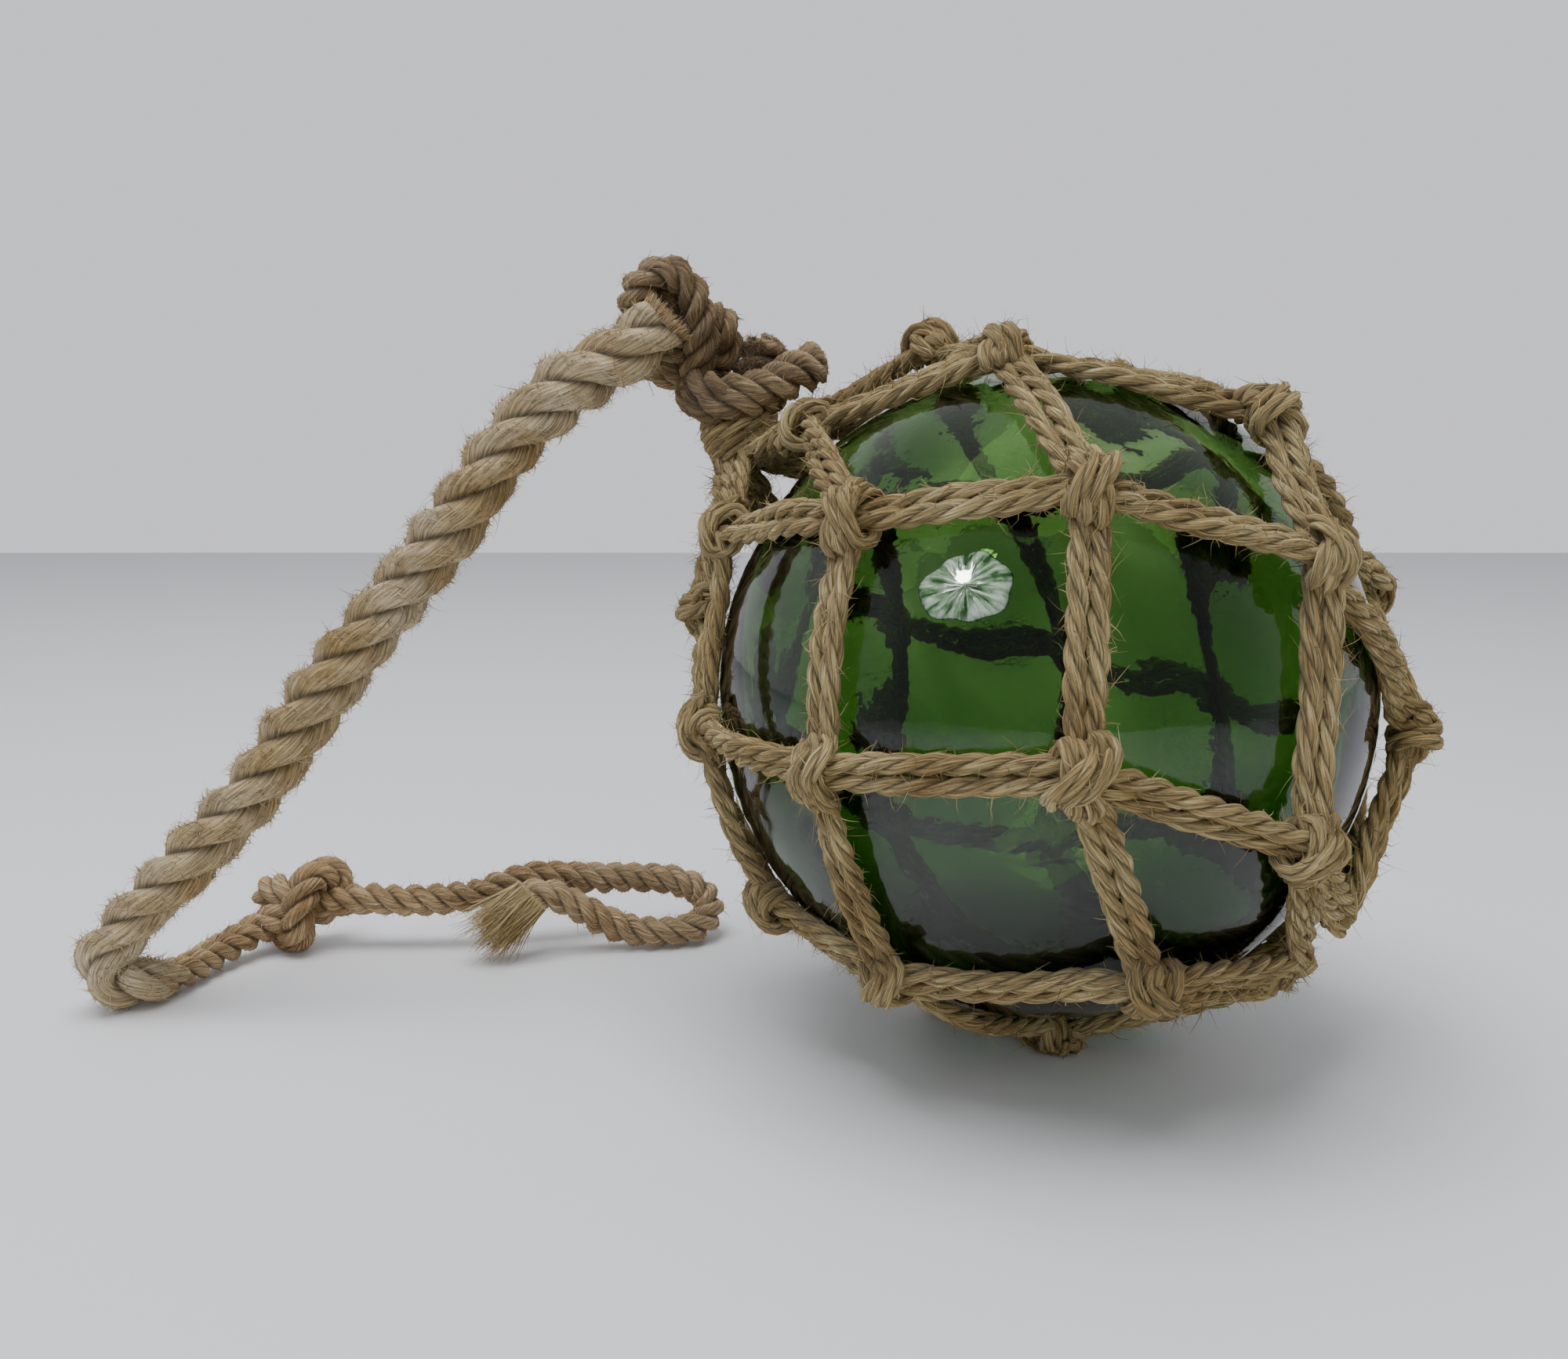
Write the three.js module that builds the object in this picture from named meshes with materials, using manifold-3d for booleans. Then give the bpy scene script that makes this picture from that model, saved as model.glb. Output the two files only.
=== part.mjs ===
// Blown glass float ball in its knotted rope net, with a rope lanyard tied to the net.
// It lies at rest: the ball stands on three net knots, and the lanyard leans down beside it.
// Millimetres, +Z up. The lanyard lies towards -X, and -Y is the side with the glass seal.
// The origin is on the resting surface, under the middle of the ball, net and becket.
import * as THREE from 'three';
import { mergeVertices } from 'three/addons/utils/BufferGeometryUtils.js';
import Module from 'manifold-3d';

const wasm = await Module();
wasm.setup();

// ---- Driving dimensions ----
const BALL_RADIUS = 100;
const BALL_LIFT = 11; // from the resting surface to the lowest glass
const BALL_BANDS = 16;
const BALL_SIDES = 24;

const SEAL_RADIUS = 13; // the button of glass that closes the blowing hole
const SEAL_HEIGHT = 1.6;
const SEAL_DOME = [1, 1, 0.75, 0.2]; // share of the height, from the middle of the button outwards
const SEAL_TURN = -114; // degrees about +Z from +X
const SEAL_RISE = 24.5; // degrees above the ball's equator

const CORD_DIAMETER = 6.5; // net cord, laid double in every leg of the mesh
const LEG_REACH = BALL_RADIUS + 6; // ball centre to the middle of a leg that has to bend
const LEG_INSET = 7; // a leg starts inside its knot, clear of the knot's other legs
const LEG_PROFILE = [[-0.8, -0.5], [0.8, -0.5], [1, 0.05], [0, 0.5], [-1, 0.05]]; // in cord diameters

const KNOT_ALONG = 15; // half sizes of a net knot, corner to corner
const KNOT_ACROSS = 14;
const KNOT_THICK = 7.8;
const KNOT_PROFILE = [[0, -1], [0.72, -1], [1, -0.15], [0.7, 0.75], [0, 1]]; // in half sizes, out and up
const KNOT_REACH = BALL_RADIUS + 8.5; // ball centre to the middle of a knot
const GLASS_GAP = 0.6;

const POLE_TILT = 49.5; // the net's pole, degrees from +Z
const POLE_TURN = 153.7; // degrees about +Z from +X

const ROPE_RADIUS = 6; // becket and tail
const ROPE_SIDES = 8;
const KNOTTED_SIDES = 6;
const KNOTTED_STEPS = 2; // steps from one route point to the next where a rope is knotted

const LANYARD_RADIUS = 10.5;
const LANYARD_TIP_RADIUS = 8.7; // cut end, squeezed in the becket's loop
const LANYARD_FOOT_RADIUS = 7; // where it narrows into the tail
const LANYARD_TIP_SHARE = 0.12; // shares of its length over which it narrows
const LANYARD_FOOT_SHARE = 0.25;
const LANYARD_SIDES = 10;

// ---- The net's knots ----
// Each row runs round the pole. A knot is [degrees from the pole, degrees round the pole, reach].
// Even rows sit between the knots of odd rows, and each knot joins two legs up and two down.
const KNOT_ROWS = [
  [
    [26, -42, 113], [20, 11, 112], [32, 56, 112], [27, 112, 111], [25, 165, 111], [27, 218, 111],
    [32, 283, 113],
  ],
  [[55, -64], [56, -2], [49, 47], [57, 106], [54, 152], [52, 200], [54, 249]],
  [[80, -32], [80, 24], [87, 63], [82, 118], [80, 172], [81, 226], [84, 285]],
  [[106, -58], [106, -5], [107, 45], [115, 108], [108, 155], [106, 202], [112, 252]],
  [[137, -30], [139, 14], [142, 88, 106.5], [137, 133], [136, 176], [137, 228], [135, 264, 107.5]],
];

// The cord grommet that closes the net at its far pole, with one point for each mesh.
const GROMMET_POLAR = 170;
const GROMMET_REACH = BALL_RADIUS + 9;
const GROMMET_AZIMUTHS = [-62, -18, 36, 92, 145, 196, 248];
const GROMMET_RADIUS = 4.5;

// The gathered neck of the net, under the becket's hitch.
const NECK_CENTRE = [-96, 40, 77];
const NECK_AXIS = [-0.25, 0, 0.97];
const NECK_RING = 8; // radius on which the gathered legs end
const NECK_BAND = [[0, -7.5], [11, -7.5], [13.5, -4], [13.5, 1.5], [11, 4.5], [0, 4.5]];
const NECK_SIDES = 10;

// ---- Rope routes, from the ball's centre ----
// The becket: one rope hitched over the net's neck, then looped round the lanyard's end.
const BECKET_ROUTE = [
  [-69, 37, 103], [-77, 36, 101], [-86, 32, 96], [-95, 29, 94], [-105, 31, 94], [-112, 39, 95],
  [-109, 48, 95], [-101, 52, 94], [-92, 50, 93.5], [-88, 41, 92], [-92, 31, 91], [-100, 28, 90],
  [-108, 33, 89], [-113, 41, 93], [-112, 42, 100], [-110, 39, 110], [-111, 38, 120],
  [-115, 38, 128], [-121, 38, 132], [-129, 40, 129], [-133, 45, 122], [-133, 52, 113],
  [-129, 54, 105], [-120, 49, 100], [-111, 50, 102], [-103, 49, 106], [-103, 48, 114], [-108, 50, 122],
];
const BECKET_CUTS = [0, 9, 18, 27]; // route points where a knotted rope is cut into simple lengths
const BECKET_END_ROUTE = [[-96, 48, 95], [-92, 50, 101], [-84, 52, 107]];

// The lanyard, from its cut end in the becket's loop down to its foot on the table.
const LANYARD_ROUTE = [
  [-121, 31.5, 116.8], [-127, 31, 111.4], [-134.5, 29, 105], [-146, 28, 99.4], [-159.5, 27, 89.7],
  [-174.5, 26, 73.8], [-188, 25, 54.4], [-211, 24, 26.6], [-236, 21, -5.5], [-257, 18, -34],
  [-281, 15, -60.5], [-304, 13, -84], [-310.5, 12, -94], [-309, 13, -101], [-301.5, 16, -103.8],
];

// The tail, from the lanyard's foot through an overhand knot and a span to its hitched eye.
const TAIL_ROUTE = [
  [-298, 20.5, -104.8], [-292.5, 34, -104.8], [-288.5, 48, -104.5], [-283, 59, -103], [-278.5, 65.5, -101.5],
];
const KNOT_ROUTE = [
  [-276.4, 67.4, -100.7], [-271, 71, -99], [-263, 78, -99], [-256, 82, -94], [-256, 81, -87], [-260, 75, -86],
  [-263, 69, -92], [-265, 69, -101], [-268, 75, -104.5], [-272, 81, -99], [-271, 79, -91], [-264, 74, -90],
  [-257, 76, -93], [-249.6, 76, -92.6],
];
const KNOT_CUTS = [0, 5, 9, 13];
const SPAN_ROUTE = [
  [-249, 76, -92.5], [-240, 76, -92], [-230, 76, -92.3], [-213, 77, -92.3], [-198.3, 78, -91.8],
];
const EYE_ROUTE = [
  [-197.4, 78, -91.8], [-190, 79, -91], [-180, 81, -89], [-170, 84, -88], [-156, 90, -89], [-139, 97, -91],
  [-124, 99, -93], [-114, 95, -97], [-112, 87, -102], [-118, 79, -104.4], [-129, 75, -104.7],
  [-142, 74, -104], [-151, 74, -100], [-160, 72, -94], [-169, 70, -91], [-178, 68, -93], [-185, 67, -99],
  [-192, 66, -104.6],
];
const EYE_CUTS = [0, 8, 17];

// ---- Solids ----
const rad = THREE.MathUtils.degToRad;
const vec = (x, y, z) => new THREE.Vector3(x, y, z);
const flat = (points) => points.map(([x, y]) => new THREE.Vector2(x, y));

/** The closed solid of a geometry, with its shared corners merged. */
function solidOf(geometry) {
  geometry.deleteAttribute('normal');
  geometry.deleteAttribute('uv');
  const merged = mergeVertices(geometry, 1e-4);
  return new wasm.Manifold(new wasm.Mesh({
    numProp: 3,
    vertProperties: new Float32Array(merged.attributes.position.array),
    triVerts: new Uint32Array(merged.index.array),
  }));
}

/** One solid joined from several that overlap. */
const joined = (solids) => solids.reduce((whole, next) => whole.add(next));

/** A named mesh of a solid, in its own finish. */
function meshOf(name, solid, material) {
  const { vertProperties, triVerts } = solid.getMesh();
  const geometry = new THREE.BufferGeometry();
  geometry.setAttribute('position', new THREE.BufferAttribute(new Float32Array(vertProperties), 3));
  geometry.setIndex(new THREE.BufferAttribute(new Uint32Array(triVerts), 1));
  geometry.computeVertexNormals();
  const mesh = new THREE.Mesh(geometry, material);
  mesh.name = name;
  return mesh;
}

/** A round outline of radius 1 with a few sides. */
function roundOutline(sides) {
  const corners = Array.from({ length: sides }, (_, i) => {
    const angle = (2 * Math.PI * i) / sides;
    return new THREE.Vector2(Math.cos(angle), Math.sin(angle));
  });
  return new THREE.Shape(corners);
}

/** An outline swept along stations {at, side, up, scale}: a straight extrusion, bent section by section. */
function sweep(outline, stations) {
  const steps = stations.length - 1;
  const geometry = new THREE.ExtrudeGeometry(outline, { depth: steps, steps, bevelEnabled: false });
  const position = geometry.attributes.position;
  for (let i = 0; i < position.count; i++) {
    const { at, side, up, scale } = stations[Math.round(position.getZ(i))];
    const place = at.clone()
      .addScaledVector(side, scale * position.getX(i))
      .addScaledVector(up, scale * position.getY(i));
    position.setXYZ(i, place.x, place.y, place.z);
  }
  return solidOf(geometry);
}

/** Stations on a smooth curve through the route's points, from one of its points to another. */
function stationsOf(route, steps, radiusAt, from = 0, to = route.length - 1) {
  const curve = new THREE.CatmullRomCurve3(route.map((p) => vec(...p)), false, 'centripetal');
  const last = (route.length - 1) * steps;
  const frames = curve.computeFrenetFrames(last);
  const stations = [];
  for (let i = from * steps; i <= to * steps; i++) {
    const share = i / last;
    const ahead = curve.getTangent(share);
    const side = frames.normals[i].clone().addScaledVector(ahead, -frames.normals[i].dot(ahead)).normalize();
    stations.push({ at: curve.getPoint(share), side, up: ahead.clone().cross(side), scale: radiusAt(share) });
  }
  return stations;
}

/** A rope that runs clear of itself. */
const plainRope = (route) => sweep(roundOutline(ROPE_SIDES), stationsOf(route, 1, () => ROPE_RADIUS));

/** A rope that crosses itself: simple lengths of it, each joined to the next over one route point. */
function knottedRope(route, cuts) {
  const lengths = cuts.slice(1).map((end, i) => {
    const start = Math.max(cuts[i] - (i > 0 ? 1 : 0), 0);
    const stations = stationsOf(route, KNOTTED_STEPS, () => ROPE_RADIUS, start, end);
    return sweep(roundOutline(KNOTTED_SIDES), stations);
  });
  return joined(lengths);
}

// ---- The glass ----
function ballSolid() {
  const sealAngle = Math.asin(SEAL_RADIUS / BALL_RADIUS);
  const dome = SEAL_DOME.map((share, i) => {
    const angle = (sealAngle * i) / SEAL_DOME.length;
    const reach = BALL_RADIUS + SEAL_HEIGHT * share;
    return [reach * Math.sin(angle), reach * Math.cos(angle)];
  });
  const round = Array.from({ length: BALL_BANDS }, (_, i) => {
    const angle = THREE.MathUtils.lerp(sealAngle, Math.PI, i / (BALL_BANDS - 1));
    return [BALL_RADIUS * Math.sin(angle), BALL_RADIUS * Math.cos(angle)];
  });
  const profile = flat([...dome, ...round]).reverse();
  profile[0].x = 0;
  const geometry = new THREE.LatheGeometry(profile, BALL_SIDES);
  const seal = vec(1, 0, 0)
    .applyAxisAngle(vec(0, -1, 0), rad(SEAL_RISE))
    .applyAxisAngle(vec(0, 0, 1), rad(SEAL_TURN));
  geometry.applyQuaternion(new THREE.Quaternion().setFromUnitVectors(vec(0, 1, 0), seal));
  return solidOf(geometry);
}

// ---- The net ----
const pole = vec(0, 0, 1)
  .applyAxisAngle(vec(0, 1, 0), rad(POLE_TILT))
  .applyAxisAngle(vec(0, 0, 1), rad(POLE_TURN));
const front = vec(0, -1, 0).addScaledVector(pole, pole.y).normalize();
const across = pole.clone().cross(front);

/** A place over the ball: degrees from the net's pole, degrees round it, distance from the centre. */
function netPoint(polar, azimuth, reach) {
  return pole.clone().multiplyScalar(Math.cos(rad(polar)))
    .addScaledVector(front, Math.sin(rad(polar)) * Math.cos(rad(azimuth)))
    .addScaledVector(across, Math.sin(rad(polar)) * Math.sin(rad(azimuth)))
    .multiplyScalar(reach);
}

/** A wrapped knot: a four-sided cushion on the glass, whose sides face its four legs. */
function netKnot(centre) {
  const outward = centre.clone().normalize();
  const along = pole.clone().addScaledVector(outward, -pole.dot(outward)).normalize();
  const thick = Math.min(KNOT_THICK, centre.length() - BALL_RADIUS - GLASS_GAP);
  const shape = new THREE.LatheGeometry(flat(KNOT_PROFILE), 4);
  shape.scale(KNOT_ALONG, thick, KNOT_ACROSS);
  const frame = new THREE.Matrix4().makeBasis(along, outward, along.clone().cross(outward));
  shape.applyMatrix4(frame.setPosition(centre));
  return solidOf(shape);
}

/** A leg of doubled cord from knot to knot: straight, or bent half way where it would cut the glass. */
function netLeg(from, to) {
  const ahead = to.clone().sub(from).normalize();
  const start = from.clone().addScaledVector(ahead, LEG_INSET);
  const end = to.clone().addScaledVector(ahead, -LEG_INSET);
  const middle = start.clone().add(end).divideScalar(2);
  const bent = middle.length() < LEG_REACH;
  const places = bent ? [start, middle.setLength(LEG_REACH), end] : [start, end];
  const up = middle.clone().addScaledVector(ahead, -middle.dot(ahead)).normalize();
  const side = up.clone().cross(ahead);
  const stations = places.map((at) => ({ at, side, up, scale: CORD_DIAMETER }));
  return sweep(new THREE.Shape(flat(LEG_PROFILE)), stations);
}

/** Legs from every knot of one row to its two neighbours in the next. */
function legsBetween(row, next, nextIsOdd) {
  const count = row.length;
  return row.flatMap((knot, k) => [next[k], next[(k + (nextIsOdd ? count - 1 : 1)) % count]]
    .map((other) => netLeg(knot, other)));
}

/** One side of the grommet ring, run on a little past both of its points. */
function grommetSide(point, next) {
  const ahead = next.clone().sub(point).normalize();
  const side = ahead.clone().cross(point).normalize();
  const up = ahead.clone().cross(side);
  const past = ahead.clone().multiplyScalar(GROMMET_RADIUS / 2);
  const ends = [point.clone().sub(past), next.clone().add(past)];
  const stations = ends.map((at) => ({ at, side, up, scale: GROMMET_RADIUS }));
  return sweep(roundOutline(KNOTTED_SIDES), stations);
}

/** Where the top legs end, on a ring inside the neck's band. */
function neckPoint([, azimuth]) {
  const axis = vec(...NECK_AXIS).normalize();
  const side = vec(0, -1, 0).applyAxisAngle(axis, rad(azimuth));
  return vec(...NECK_CENTRE).addScaledVector(side, NECK_RING);
}

function neckBand() {
  const axis = vec(...NECK_AXIS).normalize();
  const band = new THREE.LatheGeometry(flat(NECK_BAND), NECK_SIDES);
  band.applyQuaternion(new THREE.Quaternion().setFromUnitVectors(vec(0, 1, 0), axis));
  band.translate(...NECK_CENTRE);
  return solidOf(band);
}

/** The whole net, with the knots that it stands on pressed flat by the table. */
function netSolid() {
  const rows = KNOT_ROWS.map((row) => row.map(([polar, azimuth, reach = KNOT_REACH]) =>
    netPoint(polar, azimuth, reach)));
  const grommet = GROMMET_AZIMUTHS.map((azimuth) => netPoint(GROMMET_POLAR, azimuth, GROMMET_REACH));
  const table = new THREE.BoxGeometry(3 * BALL_RADIUS, 3 * BALL_RADIUS, BALL_RADIUS);
  table.translate(0, 0, -BALL_RADIUS - BALL_LIFT - BALL_RADIUS / 2);
  return joined([
    ...rows.flat().map(netKnot),
    ...legsBetween(rows[0], KNOT_ROWS[1].map(neckPoint), false),
    ...rows.slice(0, -1).flatMap((row, i) => legsBetween(row, rows[i + 1], i % 2 === 1)),
    ...legsBetween(rows.at(-1), grommet, false),
    ...grommet.map((point, k) => grommetSide(point, grommet[(k + 1) % grommet.length])),
    neckBand(),
  ]).subtract(solidOf(table));
}

// ---- The ropes ----
const becketSolid = () => joined([
  knottedRope(BECKET_ROUTE, BECKET_CUTS),
  knottedRope(BECKET_END_ROUTE, [0, BECKET_END_ROUTE.length - 1]),
]);

/** The lanyard narrows to its squeezed tip at the top and towards the tail at its foot. */
function lanyardSolid() {
  const { smoothstep, lerp } = THREE.MathUtils;
  const radiusAt = (share) => {
    const upper = lerp(LANYARD_TIP_RADIUS, LANYARD_RADIUS, smoothstep(share, 0, LANYARD_TIP_SHARE));
    return lerp(upper, LANYARD_FOOT_RADIUS, smoothstep(share, 1 - LANYARD_FOOT_SHARE, 1));
  };
  return sweep(roundOutline(LANYARD_SIDES), stationsOf(LANYARD_ROUTE, 1, radiusAt));
}

// ---- Finishes ----
const glass = new THREE.MeshStandardMaterial({
  color: '#2f6b1f', roughness: 0.05, metalness: 0, transparent: true, opacity: 0.5,
});
const jute = new THREE.MeshStandardMaterial({ color: '#a08763', roughness: 0.95, metalness: 0 });
const manila = new THREE.MeshStandardMaterial({ color: '#a99372', roughness: 0.95, metalness: 0 });

// ---- The float and its lanyard ----
const float = new THREE.Group();
float.add(
  meshOf('glass_ball', ballSolid(), glass),
  meshOf('rope_net', netSolid(), jute),
  meshOf('becket_rope', becketSolid(), manila),
);
const lanyard = new THREE.Group();
lanyard.add(
  meshOf('lanyard_rope', lanyardSolid(), manila),
  meshOf('tail_rope', plainRope(TAIL_ROUTE), manila),
  meshOf('tail_knot', knottedRope(KNOT_ROUTE, KNOT_CUTS), manila),
  meshOf('tail_span', plainRope(SPAN_ROUTE), manila),
  meshOf('tail_eye', knottedRope(EYE_ROUTE, EYE_CUTS), manila),
);

// The origin goes under the middle of the float, at the height of its pressed knots.
const part = new THREE.Group();
part.add(float, lanyard);
const extent = new THREE.Box3().setFromObject(float);
part.position.set(-(extent.min.x + extent.max.x) / 2, -(extent.min.y + extent.max.y) / 2, -extent.min.z);
part.updateMatrixWorld(true);

export default part;
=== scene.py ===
# %% [markdown]
# # A glass fishing float in its rope net
# The float is a hollow ball of green blown glass. A net of doubled jute cord is knotted round it, seven
# meshes round, and gathered at a neck. A short rope, the becket, is hitched over the neck and holds a
# thick rope lanyard, which runs down to the table and goes on as a thin tail with a knot and an eye.
# Most of the file is one idea: a strand is a bulge that winds round a line. A surface worked out on a grid
# gives it, and fine closed spikes on that surface give the fuzz.

# %% Load the frame
import bpy
import numpy as np
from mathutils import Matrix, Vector


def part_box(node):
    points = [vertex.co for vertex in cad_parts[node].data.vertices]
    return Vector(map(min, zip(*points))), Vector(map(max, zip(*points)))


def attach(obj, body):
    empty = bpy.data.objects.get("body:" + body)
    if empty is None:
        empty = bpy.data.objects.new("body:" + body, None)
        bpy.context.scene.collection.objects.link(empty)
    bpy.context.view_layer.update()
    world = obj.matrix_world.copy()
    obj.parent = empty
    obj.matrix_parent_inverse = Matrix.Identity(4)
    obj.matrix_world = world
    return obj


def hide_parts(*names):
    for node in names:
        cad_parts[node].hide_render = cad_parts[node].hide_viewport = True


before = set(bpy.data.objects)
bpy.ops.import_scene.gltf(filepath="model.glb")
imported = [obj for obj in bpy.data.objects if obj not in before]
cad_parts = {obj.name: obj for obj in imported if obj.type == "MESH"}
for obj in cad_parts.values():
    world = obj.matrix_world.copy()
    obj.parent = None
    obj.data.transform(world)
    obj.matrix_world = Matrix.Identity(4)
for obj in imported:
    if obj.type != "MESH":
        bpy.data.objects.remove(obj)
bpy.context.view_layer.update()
MM = 0.001

# %% [markdown]
# Every place is measured from the ball's centre, and the frame gives it: the middle of the ball's own box.

# %% The ball's place and size
BALL_RADIUS = 100 * MM
BALL_CENTRE = np.mean(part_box("glass_ball"), axis=0)
print("ball centre", BALL_CENTRE.round(4))

# %% [markdown]
# The camera stands a little left of the ball and above it, about half a metre away.

# %% Camera
CAMERA_FROM_BALL = np.array([-83.0, -449.1, 78.3]) * MM
CAMERA_DOWN = 9.42  # degrees below level
CAMERA_LENS = 33.3  # millimetres, on a 36 mm sensor

camera = bpy.data.objects.new("camera", bpy.data.cameras.new("camera"))
camera.data.lens = CAMERA_LENS
camera.data.sensor_width = 36
camera.data.clip_start = 0.02
camera.location = BALL_CENTRE + CAMERA_FROM_BALL
camera.rotation_euler = (np.radians(90 - CAMERA_DOWN), 0, 0)
bpy.context.scene.collection.objects.link(camera)
bpy.context.scene.camera = camera

# %% [markdown]
# ## The lines that the ropes follow
# A rope is drawn as a line first. A few points fix the line, and a smooth curve runs through all of them.
# The curve is the centripetal kind, which makes no loops or cusps of its own where points lie close together.

# %% A smooth line through points, and the directions along it
def smooth_line(points, spacing):
    """An evenly spaced line through the points.

    Each stretch is a cubic whose end slopes come from the neighbouring points, weighted by the square
    root of their distances (centripetal Catmull-Rom). It is then measured and cut at even lengths.
    """
    p = np.asarray(points, float)
    p = np.vstack([2 * p[0] - p[1], p, 2 * p[-1] - p[-2]])
    step = np.sqrt(np.linalg.norm(np.diff(p, axis=0), axis=1))[:, None]
    before, here, after = step[:-2], step[1:-1], step[2:]
    p0, p1, p2, p3 = p[:-3], p[1:-2], p[2:-1], p[3:]
    slope1 = here * ((p1 - p0) / before - (p2 - p0) / (before + here)) + (p2 - p1)
    slope2 = (p2 - p1) + here * ((p3 - p2) / after - (p3 - p1) / (here + after))
    t = np.linspace(0, 1, 24, endpoint=False)[None, :, None]
    curve = ((2 * t**3 - 3 * t**2 + 1) * p1[:, None] + (t**3 - 2 * t**2 + t) * slope1[:, None]
             + (3 * t**2 - 2 * t**3) * p2[:, None] + (t**3 - t**2) * slope2[:, None])
    curve = np.vstack([curve.reshape(-1, 3), p[-2]])
    return evenly_cut(curve, spacing)


def evenly_cut(line, spacing):
    """The same line with its points at even distances, about the given spacing apart."""
    along = distance_along(line)
    count = max(int(round(along[-1] / spacing)), 3) + 1
    even = np.linspace(0, along[-1], count)
    return np.stack([np.interp(even, along, line[:, k]) for k in range(3)], axis=1)


def distance_along(line):
    """How far along the line each of its points is."""
    return np.concatenate([[0], np.cumsum(np.linalg.norm(np.diff(line, axis=0), axis=1))])


def unit(vectors):
    """Vectors of length 1 in the same directions."""
    return vectors / np.linalg.norm(vectors, axis=-1, keepdims=True)


def turned(angle, first, second):
    """Directions at the given angles from the first of two directions towards the second."""
    return np.cos(angle)[..., None] * first + np.sin(angle)[..., None] * second


def carried_frames(line, first_side=(0, 0, 1)):
    """Ahead, side and up at each point. The side is carried along and only made square to the line."""
    ahead = unit(np.gradient(line, axis=0))
    side = np.empty_like(ahead)
    current = np.asarray(first_side, float)
    if abs(current @ ahead[0]) > 0.9:
        current = np.array([0.0, 1.0, 0.0])
    for i, forward in enumerate(ahead):
        current = current - (current @ forward) * forward
        current = current / np.linalg.norm(current)
        side[i] = current
    return ahead, side, np.cross(ahead, side)


# %% [markdown]
# The free rope lies as it was put down: the thick lanyard leans from the becket to the table, and the thin
# tail turns back behind it, through an overhand knot, to an eye whose end is hitched and frayed.

# %% Routes of the ropes
RING_SPACING = 1.6 * MM


def rope_line(route):
    """The line of a route given in millimetres from the ball's centre."""
    return smooth_line(BALL_CENTRE + np.array(route) * MM, RING_SPACING)


lanyard_line = rope_line([
    (-121, 31.5, 116.8), (-127, 31, 111.4), (-134.5, 29, 105), (-146, 28, 99.4), (-159.5, 27, 89.7),
    (-174.5, 26, 73.8), (-188, 25, 54.4), (-211, 24, 26.6), (-236, 21, -5.5), (-257, 18, -34),
    (-281, 15, -60.5), (-303, 13, -83), (-309.5, 12, -92.5), (-308, 13, -99.5), (-301, 17, -103),
    (-296, 25, -104.5), (-293, 33, -105),
])
tail_line = rope_line([
    (-302, 15.5, -104), (-298, 20.5, -104.8), (-292.5, 34, -105), (-288.5, 48, -104.8), (-283, 59, -103),
    (-278, 66.5, -100.7), (-271, 70, -98), (-262.5, 79, -99), (-254.5, 83.5, -94), (-253.5, 82, -85.5),
    (-259, 73, -83.5), (-262, 67, -91.5), (-264, 67, -102.5), (-270, 75, -105.5), (-277.5, 82, -99.5),
    (-277, 78, -90.5), (-267, 71, -88.5), (-256.5, 75, -93), (-248, 76, -93), (-240, 76, -92.5),
    (-230, 76, -93), (-213, 77, -93), (-199, 79, -91.8), (-189, 81.5, -88.5), (-179, 83.5, -86),
    (-169, 85.5, -86.5), (-156, 90, -88.5), (-139, 97, -91), (-124, 99, -93), (-114, 95, -97),
    (-112, 87, -102), (-118, 79, -105), (-129, 75, -105.2), (-141, 74, -103.8), (-151, 73, -99.5),
    (-160, 71.5, -94), (-168, 70.5, -90), (-175, 69, -88.5), (-180, 67, -91), (-182, 65.5, -95),
])
becket_line = rope_line([
    (-69, 37, 103), (-77, 36, 101), (-86, 32, 96), (-95, 29, 94), (-105, 31, 94), (-112, 39, 95),
    (-109, 48, 95), (-101, 52, 94), (-92, 50, 93.5), (-88, 41, 92), (-92, 31, 91), (-100, 28, 90),
    (-108, 33, 89), (-113, 41, 93), (-112, 42, 100), (-110, 39, 110), (-111, 38, 120),
    (-115, 38, 128), (-121, 38, 132), (-129, 40, 129), (-133, 45, 122), (-133, 52, 113),
    (-129, 54, 105), (-120, 49, 100), (-111, 50, 102), (-103, 49, 106), (-103, 48, 114), (-108, 50, 122),
])
becket_end_line = rope_line([(-96, 47, 95), (-91, 47, 103), (-84, 46, 110)])
becket_second_line = rope_line([
    (-130, 50, 103), (-121, 47, 106), (-114.5, 46, 111), (-114.5, 45, 118.5), (-121, 45, 124.5),
    (-128, 48, 121.5), (-132, 52, 113),
])
LANYARD_LENGTH = distance_along(lanyard_line)[-1]

# %% [markdown]
# ## Laid rope as a surface
# Laid rope is three strands wound round each other, so its cross-section is three overlapping circles and
# turns as it goes along. Z-laid rope turns like a right-handed screw, and S-laid cord the other way. The
# section is drawn as a distance from the middle line at each angle, so that one closed grid makes a whole
# rope. The grid's columns turn with the strands, and one column runs exactly along each groove.
# The UV map counts strands across and millimetres along, so the fibres in the material follow the lay.

# %% Surfaces as grids, with their faces and UVs
STRANDS = 3
STRAND_OFFSET = 0.48  # strand centre from the rope's middle, as a share of the rope's radius
COLUMNS = 7  # grid columns across one strand
S_LAY, Z_LAY = -1, 1  # the way the strands turn: against a right-handed screw, or like one
SWELLS = [(0.035, 1.37), (0.03, 0.61), (0.02, 0.29), (0.012, 0.13)]  # share of the radius, length in lays
END_SIZE = 0.25  # how wide a rounded end is at its tip, as a share of the rope
CROWN = 0.8  # fuzz grows where the section reaches this far out
BARE_END = 4 * MM  # and not this close to an end


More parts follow.
